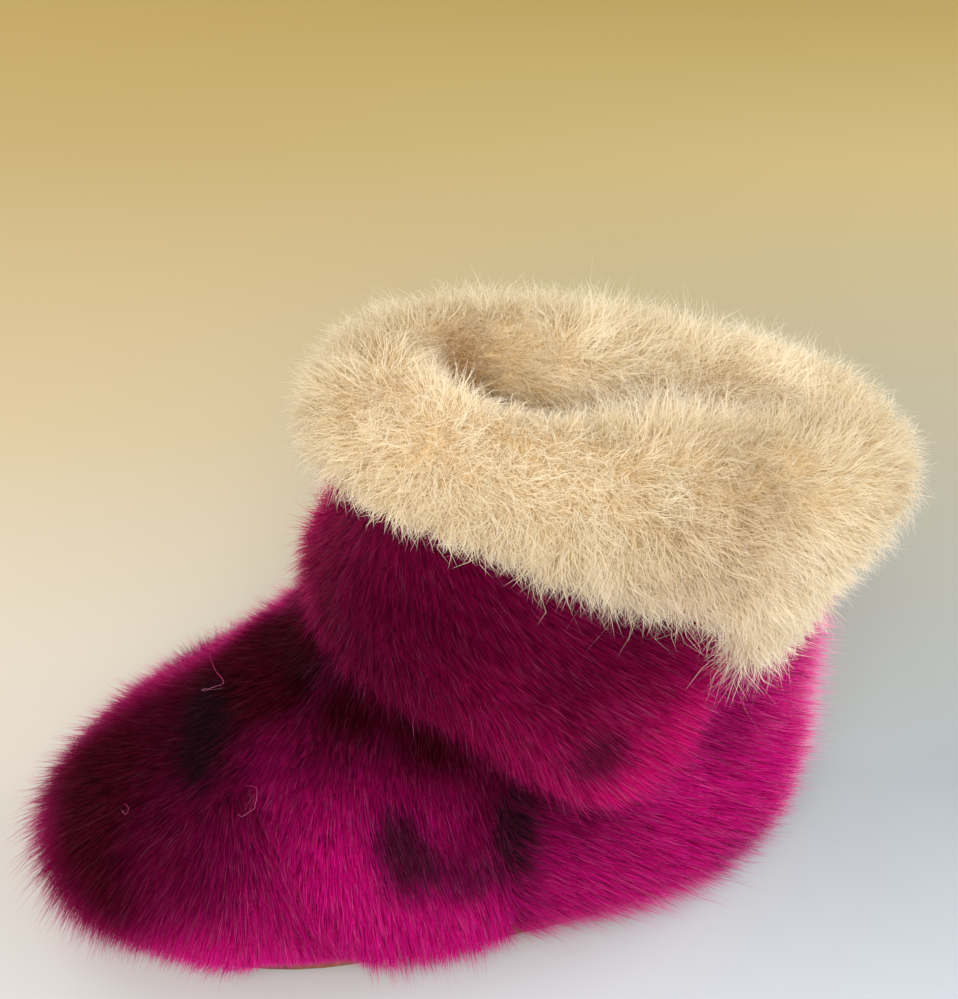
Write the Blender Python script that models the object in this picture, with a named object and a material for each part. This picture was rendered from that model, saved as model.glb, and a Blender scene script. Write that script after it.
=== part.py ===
"""A child's fur slipper boot for the left foot: soft leather sole, fleece insole, fur-skin upper,
a slouched ankle cuff and a rolled shearling collar. Toe towards -Y, outer side of the foot +X,
Z up, origin on the floor under the middle of the foot."""

import math
from collections import namedtuple

import bmesh
import bpy
import numpy as np

MM = 0.001

# Driving dimensions, in millimetres.
FOOT_LENGTH = 150.0
BALL_WIDTH = 73.0
SHAFT_HEIGHT = 104.0
SOLE_THICKNESS = 2.0
INSOLE_THICKNESS = 5.0
WALL = 3.0

# Pieces that touch are drawn a GAP apart, and faceted curves that nest take a little more.
GAP = 0.3
CURVE_GAP = 0.2

# Corners around each ring, shared by all that wraps the shaft, so that their facets lie parallel.
ROUND_STEPS = 56
RINGS_PER_SECTION = 2
SLOPE_STEP = 0.05

# The sole's rim shows past the upper's feather edge, and the insole lies loose inside the wall.
SOLE_RIM = 0.6
SOLE_EDGE = 0.5
INSOLE_SLACK = 0.8
INSOLE_EDGE = 1.0
PLATE_SLOPE_LEVEL = 0.3

# The sole leaves the floor ahead of the ball, and the forefoot leans a little to the big toe.
TOE_SPRING = 2.5
SPRING_FROM_Y = -42.0
TOE_LEAN = 2.0
LEAN_FROM_Y = -15.0

# The foot's waist on the inner side, over the arch.
WAIST_DEPTH = 3.0
WAIST_Y = 18.0
WAIST_REACH = 28.0
WAIST_TOP = 0.45

# The side panel is lapped over the toe panel and the heel panel, as a step in the wall.
LAP_STEP = 1.4
LAP_SOFTNESS = 2.5
LAP_BOTTOM = 0.06
LAP_TOP = 0.50
TOE_SEAM_Y = -18.0
TOE_SEAM_RAKE = 0.45
HEEL_SEAM_Y = 7.0

Section = namedtuple("Section", "name z_front z_back front back widest half_width round_front round_back")

# From the sole's edge up to the top of the shaft. z_front and z_back are shares of the shaft's
# height, front, back and widest are shares of the foot's length from the origin, half_width is a
# share of the ball's width, and the last two say how square each half of the ring is.
UPPER_SECTIONS = (
    Section("feather edge", 0.000, 0.000, -0.455, 0.436, -0.15, 0.410, 2.00, 2.80),
    Section("floor roll", 0.048, 0.050, -0.495, 0.463, -0.15, 0.468, 2.00, 2.80),
    Section("side bulge", 0.120, 0.120, -0.510, 0.479, -0.15, 0.495, 2.00, 2.70),
    Section("toe crown", 0.235, 0.203, -0.475, 0.488, -0.13, 0.485, 2.00, 2.60),
    Section("toe top", 0.328, 0.277, -0.408, 0.492, -0.09, 0.450, 2.00, 2.50),
    Section("vamp", 0.406, 0.343, -0.326, 0.494, -0.03, 0.408, 2.00, 2.45),
    Section("instep", 0.502, 0.411, -0.244, 0.495, 0.04, 0.370, 2.00, 2.35),
    Section("ankle front", 0.618, 0.480, -0.163, 0.488, 0.10, 0.335, 2.10, 2.25),
    Section("ankle fold", 0.702, 0.551, -0.100, 0.483, 0.15, 0.316, 2.20, 2.25),
    Section("lower shaft", 0.797, 0.634, -0.073, 0.480, 0.18, 0.307, 2.20, 2.25),
    Section("upper shaft", 0.896, 0.730, -0.066, 0.480, 0.19, 0.298, 2.20, 2.25),
    Section("shaft top", 1.000, 0.828, -0.056, 0.482, 0.20, 0.284, 2.20, 2.25),
)
TOP_LEVEL = len(UPPER_SECTIONS) - 1

Fold = namedtuple("Fold", "name turn low_level puff")

# The ankle cuff from the instep round to its end beside the heel, alike on both sides: where its
# lower edge lies on the upper, in sections, and how far it puffs out from its skin.
CUFF_FOLDS = (
    Fold("instep", 0.0, 7.3, 5.0),
    Fold("front corner", 44.0, 6.95, 5.5),
    Fold("ankle bone", 70.0, 6.6, 6.5),
    Fold("below ankle", 88.0, 6.1, 7.0),
    Fold("low point", 107.0, 4.8, 5.5),
    Fold("rounded end", 116.0, 5.4, 3.0),
)
CUFF_END_STEP = 18
CUFF_TOP_DEPTH = 4.0
CUFF_SKIN = 2.6
CUFF_RINGS = 9
CUFF_BULGE_POWER = 0.6
CUFF_END_TAPER = 0.14
CUFF_END_SHARE = 0.35
CUFF_CLEARANCE = 0.9
FRINGE_CLEARANCE = 1.0

Roll = namedtuple("Roll", "name turn out up drop inward")

# The collar's roll from front to back, alike on both sides, in millimetres from the shaft's top
# edge: how far it stands out and up, how deep its fringe drops and how far it fills the opening.
COLLAR_ROLLS = (
    Roll("front", 0.0, 14.0, 14.0, 4.6, 7.0),
    Roll("front corner", 35.0, 13.0, 14.5, 4.8, 7.0),
    Roll("side front", 60.0, 11.5, 14.5, 6.0, 7.5),
    Roll("side", 85.0, 11.5, 14.5, 11.5, 8.0),
    Roll("before tuft", 108.0, 11.5, 14.0, 17.5, 10.0),
    Roll("hanging tuft", 126.0, 11.0, 14.0, 34.0, 10.0),
    Roll("behind tuft", 144.0, 12.5, 13.5, 9.5, 9.0),
    Roll("heel corner", 158.0, 13.5, 13.5, 5.5, 8.0),
    Roll("back", 180.0, 14.5, 13.5, 5.0, 8.0),
)
COLLAR_IN_DEPTH = 19.0
COLLAR_SLOT_ROOF = 3.0
COLLAR_HEM = 2.2
COLLAR_ARC_POINTS = 15
COLLAR_SLOPE_DEPTH = 0.2
SPINE_FRONT_Y = 8.0
SPINE_BACK_Y = 55.0
LOCK_LENGTH = 4.5
LOCK_DROOP = 3.0
LOCK_ROWS = range(1, 8)

Finish = namedtuple("Finish", "colour roughness")

DYED_FUR = Finish((0.19, 0.004, 0.06), 0.6)
SHEARLING = Finish((0.62, 0.46, 0.30), 0.9)
SOLE_LEATHER = Finish((0.36, 0.20, 0.11), 0.7)
FLEECE = Finish((0.62, 0.50, 0.36), 0.9)


def smooth_step(share):
    share = min(max(share, 0.0), 1.0)
    return share * share * (3 - 2 * share)


def blend_rows(rows, places, at):
    """The row of a table at this place, on a smooth curve through the rows around it."""
    low = sum(place <= at for place in places[1:-1])
    span = places[low + 1] - places[low]
    t = (at - places[low]) / span
    first, second = np.array(rows[low][1:]), np.array(rows[low + 1][1:])
    slopes = []
    for index in (low, low + 1):
        before, after = max(index - 1, 0), min(index + 1, len(rows) - 1)
        rise = np.array(rows[after][1:]) - np.array(rows[before][1:])
        slopes.append(rise / (places[after] - places[before]) * span)
    values = (
        first * (2 * t**3 - 3 * t**2 + 1)
        + slopes[0] * (t**3 - 2 * t**2 + t)
        + second * (3 * t**2 - 2 * t**3)
        + slopes[1] * (t**3 - t**2)
    )
    return type(rows[low])(rows[low].name, *values)


def blend_sections(level):
    return blend_rows(UPPER_SECTIONS, range(len(UPPER_SECTIONS)), level)


def blend_turns(rows, turn):
    """The row of a table of turns at this turn, the same on both sides of the foot."""
    degrees = abs(math.degrees(math.remainder(turn, 2 * math.pi)))
    return blend_rows(rows, [row.turn for row in rows], min(degrees, rows[-1].turn))


def signed_power(value, power):
    return math.copysign(abs(value) ** power, value)


def toe_lean(y):
    """How far the foot's centre line leans towards the inner side at y."""
    reach = max(0.0, (LEAN_FROM_Y - y) / (FOOT_LENGTH / 2 + LEAN_FROM_Y))
    return -TOE_LEAN * reach**2


def toe_spring(y):
    """How far the sole lifts off the floor at y, towards the toe."""
    reach = max(0.0, (SPRING_FROM_Y - y) / (FOOT_LENGTH / 2 + SPRING_FROM_Y))
    return TOE_SPRING * reach**2


def waist(x, y, height):
    """How far the inner side is drawn in over the arch, fading out up the side."""
    if x > 0:
        return 0.0
    fade = smooth_step(1 - height / WAIST_TOP)
    return WAIST_DEPTH * fade * math.exp(-(((y - WAIST_Y) / WAIST_REACH) ** 2))


def panel_lap(y, height):
    """How far the side panel stands proud of the panels before and behind it."""
    toe_seam_y = TOE_SEAM_Y - TOE_SEAM_RAKE * height * SHAFT_HEIGHT
    ahead = smooth_step(0.5 + (y - toe_seam_y) / (2 * LAP_SOFTNESS))
    behind = smooth_step(0.5 - (y - HEEL_SEAM_Y) / (2 * LAP_SOFTNESS))
    upright = smooth_step(height / LAP_BOTTOM) * smooth_step((LAP_TOP - height) / (LAP_TOP / 2))
    return LAP_STEP * ahead * behind * upright


def upper_point(level, turn):
    """A point of the upper's outer face: level counts sections up, turn runs from the toe over +X."""
    row = blend_sections(level)
    front, back, widest = (share * FOOT_LENGTH for share in (row.front, row.back, row.widest))
    ahead = math.cos(turn) > 0
    reach = widest - front if ahead else back - widest
    power = 2 / (row.round_front if ahead else row.round_back)
    x = row.half_width * BALL_WIDTH * signed_power(math.sin(turn), power)
    y = widest - reach * signed_power(math.cos(turn), power)
    height = row.z_back + (row.z_front - row.z_back) * (back - y) / (back - front)
    x += math.copysign(panel_lap(y, height), x) * min(1.0, abs(x) / LAP_SOFTNESS)
    base = SOLE_THICKNESS + GAP
    z = base + height * (SHAFT_HEIGHT - base)
    return np.array((x + toe_lean(y) + waist(x, y, height), y, z + toe_spring(y) * (1 - height)))


def upper_normal(level, turn):
    """The outward unit normal of the upper's outer face."""
    low, high = max(level - SLOPE_STEP, 0), min(level + SLOPE_STEP, TOP_LEVEL)
    up = upper_point(high, turn) - upper_point(low, turn)
    along = upper_point(level, turn + SLOPE_STEP) - upper_point(level, turn - SLOPE_STEP)
    normal = np.cross(along, up)
    return normal / np.linalg.norm(normal)


def flat_unit(vector):
    flat = np.array((vector[0], vector[1], 0.0))
    return flat / np.linalg.norm(flat)


def level_below_top(turn, depth):
    """The level that lies this deep below the shaft's top edge."""
    section_height = (upper_point(TOP_LEVEL, turn) - upper_point(TOP_LEVEL - 1, turn))[2]
    return TOP_LEVEL - depth / section_height


def wall_point(turn, depth, offset):
    """A point this deep below the shaft's top edge, and this far out from the upper's face."""
    level = level_below_top(turn, depth)
    return upper_point(level, turn) + flat_unit(upper_normal(level, turn)) * offset


def all_turns():
    return [2 * math.pi * i / ROUND_STEPS for i in range(ROUND_STEPS)]


def new_object(name, mesh, finish):
    material = bpy.data.materials.new(name)
    material.use_nodes = True
    shader = material.node_tree.nodes["Principled BSDF"]
    shader.inputs["Base Color"].default_value = (*finish.colour, 1.0)
    shader.inputs["Roughness"].default_value = finish.roughness
    mesh.materials.append(material)
    mesh.shade_smooth()
    made = bpy.data.objects.new(name, mesh)
    bpy.context.scene.collection.objects.link(made)
    return made


def add_ring(bm, points):
    return [bm.verts.new(tuple(np.array(point) * MM)) for point in points]


def bridge(bm, lower, upper, closed=True):
    """Quads between two rows of corners, facing outwards where the rows run over +X."""
    count = len(lower)
    faces = []
    for i in range(count if closed else count - 1):
        j = (i + 1) % count
        faces.append(bm.faces.new((lower[i], lower[j], upper[j], upper[i])))
    return faces


def finish_mesh(name, bm):
    bmesh.ops.recalc_face_normals(bm, faces=bm.faces)
    mesh = bpy.data.meshes.new(name)
    bm.to_mesh(mesh)
    bm.free()
    return mesh


def build_upper():
    """One open tube from the feather edge to the shaft's top, given its wall by Solidify."""
    bm = bmesh.new()
    levels = np.linspace(0, TOP_LEVEL, TOP_LEVEL * RINGS_PER_SECTION + 1)
    rings = [add_ring(bm, [upper_point(level, turn) for turn in all_turns()]) for level in levels]
    for lower, upper in zip(rings, rings[1:]):
        bridge(bm, lower, upper)
    upper = new_object("upper", finish_mesh("upper", bm), DYED_FUR)
    wall = upper.modifiers.new("wall", "SOLIDIFY")
    wall.thickness = WALL * MM
    wall.offset = -1
    wall.use_even_offset = False


def build_plate(name, inset, bottom, thickness, edge, finish):
    """A flat piece with the outline of the upper's feather edge, its own two edges eased. Its faces
    are strips from side to side, so that all behind the toe spring lies in one plane."""
    top = bottom + thickness
    rows = ((inset + edge, bottom), (inset, bottom + edge), (inset, top - edge), (inset + edge, top))
    bm = bmesh.new()
    rings = []
    for row_inset, height in rows:
        ring = []
        for turn in all_turns():
            point = upper_point(0, turn) - flat_unit(upper_normal(PLATE_SLOPE_LEVEL, turn)) * row_inset
            ring.append((point[0], point[1], height + toe_spring(point[1])))
        rings.append(add_ring(bm, ring))
    for lower, upper in zip(rings, rings[1:]):
        bridge(bm, lower, upper)
    for ring in (rings[0], rings[-1]):
        for near, far in zip(range(ROUND_STEPS // 2), range(ROUND_STEPS, ROUND_STEPS // 2, -1)):
            corners = [ring[near], ring[near + 1], ring[far - 1], ring[far % ROUND_STEPS]]
            bm.faces.new(dict.fromkeys(corners))
    new_object(name, finish_mesh(name, bm), finish)


def cuff_thickness(turn, level, end_share):
    """The cuff's thickness: its skin where the collar covers it, puffed below the fringe."""
    fold = blend_turns(CUFF_FOLDS, turn)
    fringe_level = level_below_top(turn, blend_turns(COLLAR_ROLLS, turn).drop + FRINGE_CLEARANCE)
    share = min(1.0, (level - fold.low_level) / (fringe_level - fold.low_level))
    bulge = math.sin(math.pi * share**CUFF_BULGE_POWER)
    taper = CUFF_END_SHARE + (1 - CUFF_END_SHARE) * smooth_step(end_share / CUFF_END_TAPER)
    return CUFF_SKIN + fold.puff * max(0.0, bulge) * taper


def build_cuff():
    """A puffed pad between the upper's face and a fuller form of the same function."""
    bm = bmesh.new()
    inner, outer = [], []
    steps = range(-CUFF_END_STEP, CUFF_END_STEP + 1)
    for ring in range(CUFF_RINGS + 1):
        inner_row, outer_row = [], []
        for step in steps:
            turn = 2 * math.pi * step / ROUND_STEPS
            low = blend_turns(CUFF_FOLDS, turn).low_level
            high = level_below_top(turn, CUFF_TOP_DEPTH)
            level = low + (high - low) * ring / CUFF_RINGS
            normal = upper_normal(level, turn)
            skin = upper_point(level, turn) + normal * (GAP + CURVE_GAP)
            end_share = 1 - abs(step) / CUFF_END_STEP
            inner_row.append(skin)
            outer_row.append(skin + normal * cuff_thickness(turn, level, end_share))
        inner.append(add_ring(bm, inner_row))
        outer.append(add_ring(bm, outer_row))
    for lower, upper in zip(outer, outer[1:]):
        bridge(bm, lower, upper, closed=False)
    for lower, upper in zip(inner, inner[1:]):
        bridge(bm, upper, lower, closed=False)
    bridge(bm, inner[0], outer[0], closed=False)
    bridge(bm, outer[-1], inner[-1], closed=False)
    for side in (0, -1):
        bridge(bm, [row[side] for row in inner], [row[side] for row in outer], closed=False)
    new_object("ankle_cuff", finish_mesh("ankle_cuff", bm), DYED_FUR)


def over_cuff(turn):
    """Whether the ankle cuff lies under the collar at this turn, with half a step to spare."""
    step = abs(math.remainder(turn, 2 * math.pi)) / (2 * math.pi) * ROUND_STEPS
    return step < CUFF_END_STEP + 0.5


def collar_ring(turn):
    """One section of the roll: from the outer hem over the crown to the inner hem, then the slot
    that straddles the shaft's wall and the cuff's top edge."""
    roll = blend_turns(COLLAR_ROLLS, turn)
    edge = upper_point(TOP_LEVEL, turn)
    outward = flat_unit(upper_normal(TOP_LEVEL - COLLAR_SLOPE_DEPTH, turn))
    spine_middle, spine_half = (SPINE_BACK_Y + SPINE_FRONT_Y) / 2, (SPINE_BACK_Y - SPINE_FRONT_Y) / 2
    inward = flat_unit(np.array((0.0, spine_middle - spine_half * math.cos(turn), 0.0)) - edge)
    skirt = CUFF_SKIN + CUFF_CLEARANCE if over_cuff(turn) else GAP
    crown = edge - outward * WALL / 2
    outer_brow = edge + outward * roll.out
    outer_hem = wall_point(turn, roll.drop, skirt + COLLAR_HEM)
    inner_brow = crown + inward * (WALL / 2 + roll.inward)
    inner_hem = wall_point(turn, COLLAR_IN_DEPTH, -WALL - GAP - COLLAR_HEM)
    points = []
    for i in range(COLLAR_ARC_POINTS):
        angle = math.pi * (2 * i / (COLLAR_ARC_POINTS - 1) - 0.5)
        swing, rise = abs(math.cos(angle)), math.sin(angle)
        brow, hem = (outer_brow, outer_hem) if angle <= math.pi / 2 else (inner_brow, inner_hem)
        if rise >= 0:
            points.append(crown + (brow - crown) * swing + np.array((0.0, 0.0, roll.up * rise)))
        else:
            points.append(brow + (hem - brow) * (1 - swing, 1 - swing, -rise))
    slot = (
        (COLLAR_IN_DEPTH, -WALL - GAP - CURVE_GAP),
        (COLLAR_IN_DEPTH / 2, -WALL - GAP - CURVE_GAP),
        (-GAP, -WALL - GAP),
        (-GAP, GAP),
        (COLLAR_SLOT_ROOF, GAP + CURVE_GAP),
        (COLLAR_SLOT_ROOF, skirt + CURVE_GAP),
        ((COLLAR_SLOT_ROOF + roll.drop) / 2, skirt + CURVE_GAP),
        (roll.drop, skirt + CURVE_GAP),
    )
    return points + [wall_point(turn, depth, offset) for depth, offset in slot]


def grow_locks(bm, faces):
    """A pointed lock of wool on each of these facets, leaning down as the fleece hangs."""
    for face in faces:
        normal = face.normal.copy()
        tip = bmesh.ops.poke(bm, faces=[face])["verts"][0]
        tip.co += normal * LOCK_LENGTH * MM
        tip.co.z -= LOCK_DROOP * MM * (1 - abs(normal.z))


def build_collar():
    """The roll swept round the shaft's top edge, with locks on every other outer facet."""
    bm = bmesh.new()
    rings = [add_ring(bm, collar_ring(turn)) for turn in all_turns()]
    lock_faces = []
    for step, (here, after) in enumerate(zip(rings, rings[1:] + rings[:1])):
        faces = bridge(bm, here, after)
        lock_faces += [faces[row] for row in LOCK_ROWS if (row + step) % 2]
    bmesh.ops.recalc_face_normals(bm, faces=bm.faces)
    grow_locks(bm, lock_faces)
    new_object("fur_collar", finish_mesh("fur_collar", bm), SHEARLING)


def build_slipper():
    for old in list(bpy.data.objects):
        bpy.data.objects.remove(old)
    build_upper()
    build_plate("sole", -SOLE_RIM, 0.0, SOLE_THICKNESS, SOLE_EDGE, SOLE_LEATHER)
    insole_bottom = SOLE_THICKNESS + GAP
    build_plate("insole", WALL + INSOLE_SLACK, insole_bottom, INSOLE_THICKNESS, INSOLE_EDGE, FLEECE)
    build_cuff()
    build_collar()


build_slipper()
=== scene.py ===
# %% [markdown]
# # A child's fur slipper boot
#
# The real slipper is sewn from dyed skin with short glossy hair, closed below by a soft leather
# sole. A slouched fur cuff wraps the ankle, and a thick shearling collar rolls over the top.
# Almost all that the eye meets is hair, so this lesson is mainly about growing hair as geometry:
# each hair is a thin ribbon of a few triangles, rooted in a smooth skin. Blender's hair curves
# would be quicker to comb, but ribbons are plain mesh, which every renderer and exporter reads.

# %% Load the frame
import math
from collections import namedtuple
from functools import partial

import bmesh
import bpy
import numpy as np
from mathutils import Matrix, Vector
from mathutils.bvhtree import BVHTree
from mathutils.kdtree import KDTree


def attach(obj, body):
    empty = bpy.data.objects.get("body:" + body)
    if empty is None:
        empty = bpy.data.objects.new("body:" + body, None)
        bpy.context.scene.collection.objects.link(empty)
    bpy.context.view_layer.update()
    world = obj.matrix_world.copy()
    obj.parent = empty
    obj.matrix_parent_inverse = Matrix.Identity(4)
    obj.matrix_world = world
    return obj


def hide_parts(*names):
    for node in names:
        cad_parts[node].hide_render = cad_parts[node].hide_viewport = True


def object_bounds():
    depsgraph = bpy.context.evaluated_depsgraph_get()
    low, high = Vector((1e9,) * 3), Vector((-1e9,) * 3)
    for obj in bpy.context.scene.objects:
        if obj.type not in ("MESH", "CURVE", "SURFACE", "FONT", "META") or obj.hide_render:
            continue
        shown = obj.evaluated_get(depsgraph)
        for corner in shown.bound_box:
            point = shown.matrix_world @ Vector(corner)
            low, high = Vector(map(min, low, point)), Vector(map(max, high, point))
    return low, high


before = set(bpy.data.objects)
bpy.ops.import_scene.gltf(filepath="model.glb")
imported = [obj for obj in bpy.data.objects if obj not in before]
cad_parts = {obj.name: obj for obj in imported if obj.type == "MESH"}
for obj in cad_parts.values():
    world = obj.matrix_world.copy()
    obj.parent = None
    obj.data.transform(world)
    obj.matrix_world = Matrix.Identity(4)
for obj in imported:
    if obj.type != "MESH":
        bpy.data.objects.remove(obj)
cad_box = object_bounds()
MM = 0.001
box_low, box_high = (np.array(corner) / MM for corner in cad_box)
print("slipper, in mm:", np.round(box_high - box_low, 1))

# %% [markdown]
# ## Colours and shader nodes
#
# Colours are picked as sRGB hex values, but shaders work in linear light, so one function turns
# them. Another adds a node together with its settings, colour stops and what its sockets get,
# which keeps each material down to one line for each step that the eye could name.


# %% Colour and node helpers
def linear(hex_code):
    """A six-digit sRGB colour as linear RGBA."""
    values = [int(hex_code[i : i + 2], 16) / 255 for i in (0, 2, 4)]
    curve = [v / 12.92 if v <= 0.04045 else ((v + 0.055) / 1.055) ** 2.4 for v in values]
    return (*curve, 1.0)


def add_node(tree, kind, sockets=(), stops=(), **settings):
    """A shader node with its own settings. Each socket gets a plain value or whatever feeds it,
    and a node feeds it by its first output. A colour ramp also takes (place, hex) stops."""
    made = tree.nodes.new("ShaderNode" + kind)
    for name, value in settings.items():
        setattr(made, name, value)
    for socket, given in dict(sockets).items():
        if isinstance(given, bpy.types.Node):
            given = given.outputs[0]
        if isinstance(given, bpy.types.NodeSocket):
            tree.links.new(given, made.inputs[socket])
        else:
            made.inputs[socket].default_value = given
    if stops:
        elements = made.color_ramp.elements
        while len(elements) < len(stops):
            elements.new(1.0)
        for element, (place, hex_code) in zip(elements, stops):
            element.position = place
            element.color = linear(hex_code)
    return made


def new_material(name):
    """An empty material, and the call that adds nodes to it."""
    material = bpy.data.materials.new(name)
    material.use_nodes = True
    material.node_tree.nodes.clear()
    return material, partial(add_node, material.node_tree)


# %% [markdown]
# ## Camera
#
# The camera looks down on the outer side of the slipper with the toe to the left. It is set
# first, because how fine each hair must be depends on how near it is.

# %% Camera
CAMERA_AZIMUTH = math.radians(76.5)
CAMERA_ELEVATION = math.radians(37.9)
CAMERA_ROLL = math.radians(1.9)
CAMERA_DISTANCE = 290 * MM
CAMERA_LENS = 57.84
CAMERA_AIM_FROM_MIDDLE = Vector((-3.7, 1.0, 22.9)) * MM


def into_scene(name, data):
    """An object that shows this data, linked into the scene."""
    made = bpy.data.objects.new(name, data)
    bpy.context.scene.collection.objects.link(made)
    return made


def place_camera():
    side, ahead = math.sin(CAMERA_AZIMUTH), math.cos(CAMERA_AZIMUTH)
    level = math.cos(CAMERA_ELEVATION)
    back = Vector((side * level, -ahead * level, math.sin(CAMERA_ELEVATION)))
    level_right = Vector((ahead, side, 0))
    level_up = back.cross(level_right)
    right = level_right * math.cos(CAMERA_ROLL) + level_up * math.sin(CAMERA_ROLL)
    up = level_up * math.cos(CAMERA_ROLL) - level_right * math.sin(CAMERA_ROLL)
    aim = (cad_box[0] + cad_box[1]) / 2 + CAMERA_AIM_FROM_MIDDLE
    data = bpy.data.cameras.new("camera")
    data.lens = CAMERA_LENS
    data.sensor_width = 36
    data.clip_start = 0.01
    camera = into_scene("camera", data)
    turned = Matrix((right, up, back)).transposed().to_4x4()
    camera.matrix_world = Matrix.Translation(aim + back * CAMERA_DISTANCE) @ turned
    bpy.context.scene.camera = camera
    return camera


camera = place_camera()
print("camera at, in mm:", np.round(np.array(camera.location) / MM, 1))

# %% [markdown]
# ## Floor and light
#
# The slipper stands on a plain pale floor that drifts from warm cream behind to cool white in
# front, as paper does between a lamp and a window. Hard light would make every hair glitter, so
# the light comes from large soft panes: a warm white window on the outer side, a cool one at the
# heel end that shines through the hair's tips, a faint lamp behind the toe and a dim sky.

# %% Floor
# In metres: its size, and how far off and how far to each side its colour drifts.
FLOOR_SIZE = 3.0
FLOOR_NEAR = 0.18
FLOOR_FAR = 0.70
FLOOR_HALF_SEEN = 0.15
FLOOR_WARM = ((0.0, "C5C8CB"), (0.12, "C2BFB7"), (0.35, "B9AB8B"), (0.7, "AA9661"), (1.0, "A38D4B"))
# The cool ramp is darker from the slipper's own distance on: painted shadow beside the heel.
FLOOR_COOL_AND_SHADOW = ((0.0, "B3BFC9"), (0.12, "8E9AA2"), (0.35, "9E9B89"), (0.7, "AE9D69"), (1.0, "A08A4A"))


def floor_material():
    """Matt painted board: warm far off and pale near by, and cooler towards the heel's side, where a
    shadow beside the slipper is painted on it.
    """
    material, add = new_material("painted_board")
    place = add("TexCoord").outputs["Object"]
    under_camera = Vector((camera.location.x, camera.location.y, 0))
    turned = {"Vector": place, "Location": under_camera, "Rotation": (0, 0, CAMERA_AZIMUTH)}
    drift = add("SeparateXYZ", {"Vector": add("Mapping", turned, vector_type="TEXTURE")})
    depth = {"Value": drift.outputs["Y"], "From Min": FLOOR_NEAR, "From Max": FLOOR_FAR}
    away = add("MapRange", depth)
    seen = {"From Min": -FLOOR_HALF_SEEN, "From Max": FLOOR_HALF_SEEN}
    across = add("MapRange", {"Value": drift, **seen}, interpolation_type="SMOOTHSTEP")
    warm = add("ValToRGB", {"Fac": away}, FLOOR_WARM)
    cool_and_shadow = add("ValToRGB", {"Fac": away}, FLOOR_COOL_AND_SHADOW)
    mixed = add("Mix", {0: across, 6: warm, 7: cool_and_shadow}, data_type="RGBA").outputs[2]
    shader = add("BsdfPrincipled", {"Base Color": mixed, "Roughness": 0.85})
    add("OutputMaterial", {"Surface": shader})
    return material


def lay_floor():
    mesh = bpy.data.meshes.new("floor")
    half = FLOOR_SIZE / 2
    corners = [(-half, -half, 0), (half, -half, 0), (half, half, 0), (-half, half, 0)]
    mesh.from_pydata(corners, [], [(0, 1, 2, 3)])
    mesh.materials.append(floor_material())
    into_scene("floor", mesh)


lay_floor()
print("floor:", FLOOR_SIZE, "m square")

# %% Lights
SKY_COLOUR = "FFFAF2"
SKY_STRENGTH = 0.55

# Places and sizes in metres, power in watts.
Light = namedtuple("Light", "name place size power colour")
LIGHTS = (
    Light("window", (0.85, -0.3, 0.95), 0.8, 19.0, "FFF6EC"),
    Light("second window", (-0.1, 1.2, 0.45), 0.9, 16.0, "EEF4FF"),
    Light("lamp behind", (-0.8, -0.5, 0.55), 0.7, 3.5, "FFF2E0"),
)


def hang_light(light):
    """A square area light, turned to the middle of the slipper."""
    data = bpy.data.lights.new(light.name, "AREA")
    data.size = light.size
    data.energy = light.power
    data.color = linear(light.colour)[:3]
    hung = into_scene(light.name, data)
    from_middle = Vector(light.place) - (cad_box[0] + cad_box[1]) / 2
    hung.location = light.place
    hung.rotation_euler = from_middle.to_track_quat("Z", "Y").to_euler()


def light_the_sky():
    world = bpy.data.worlds.new("soft_room")
    world.use_nodes = True
    sky = world.node_tree.nodes["Background"]
    sky.inputs["Color"].default_value = linear(SKY_COLOUR)
    sky.inputs["Strength"].default_value = SKY_STRENGTH
    bpy.context.scene.world = world


bpy.context.scene.view_settings.view_transform = "Standard"
for light in LIGHTS:
    hang_light(light)
light_the_sky()
print("lights:", ", ".join(light.name for light in LIGHTS))

# %% [markdown]
# ## Where the panels meet
#
# The upper is three skins sewn together: a toe cap with the vamp, a side panel and a heel panel.
# The seams are hidden by hair, and show only because the hair changes its direction there. They
# are named here once, because the hair and the dye read them.

# %% Seams and panels
TOE_SEAM_Y = -18.0
TOE_SEAM_RAKE = 0.45
HEEL_SEAM_Y = 7.0
SEAM_SOFTNESS = 1.6
# How far a skin's normal turns to the side, from 0 to 1, before it counts as the side panel's.
SIDE_FACING = (0.35, 0.6)


def soft_step(values, low, high):
    """0 below low, 1 above high, and an S-curve between."""
    share = np.clip((values - low) / (high - low), 0, 1)
    return share * share * (3 - 2 * share)


def soft_ball(away):
    """1 in the middle of a soft ball, about a third at its reach, where away is 1, then soon 0."""
    return np.exp(-(away**2))


def behind_toe_seam(points):
    """How far behind the toe seam, in mm, each point lies. The seam leans forward as it rises."""
    return points[:, 1] - (TOE_SEAM_Y - TOE_SEAM_RAKE * points[:, 2])


def panel_shares(points, normals):
    """How far each point belongs to the toe, the side and the heel panel. Points are in mm."""
    heel = soft_step(points[:, 1] - HEEL_SEAM_Y, -SEAM_SOFTNESS, SEAM_SOFTNESS)
    on_the_side = soft_step(np.abs(normals[:, 0]), *SIDE_FACING)
    behind = soft_step(behind_toe_seam(points), -SEAM_SOFTNESS, SEAM_SOFTNESS)
    side = behind * on_the_side * (1 - heel)
    return 1 - side - heel, side, heel


# %% [markdown]
# ## Smooth skins
#
# The frame's solids are faceted. Hair must root in a smooth skin with soft hollows where the fur
# creases, so the upper, the cuff and the collar each get a subdivided copy that stands for its
# solid. The copy starts by pairing triangles back to four-sided faces, because subdivision rounds
# those evenly. The creases are given as short lines with a width and a depth.

# %% Inner and outer faces of the wall
# In millimetres: points every few millimetres down the middle of the foot and of the shaft.
INNER_SPINE = [(0, y, 14 + 0.12 * (y + 66)) for y in range(-66, 60, 4)]
INNER_SPINE += [(0, 14 + 0.1 * (z - 24), z) for z in range(24, 120, 4)]


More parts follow.
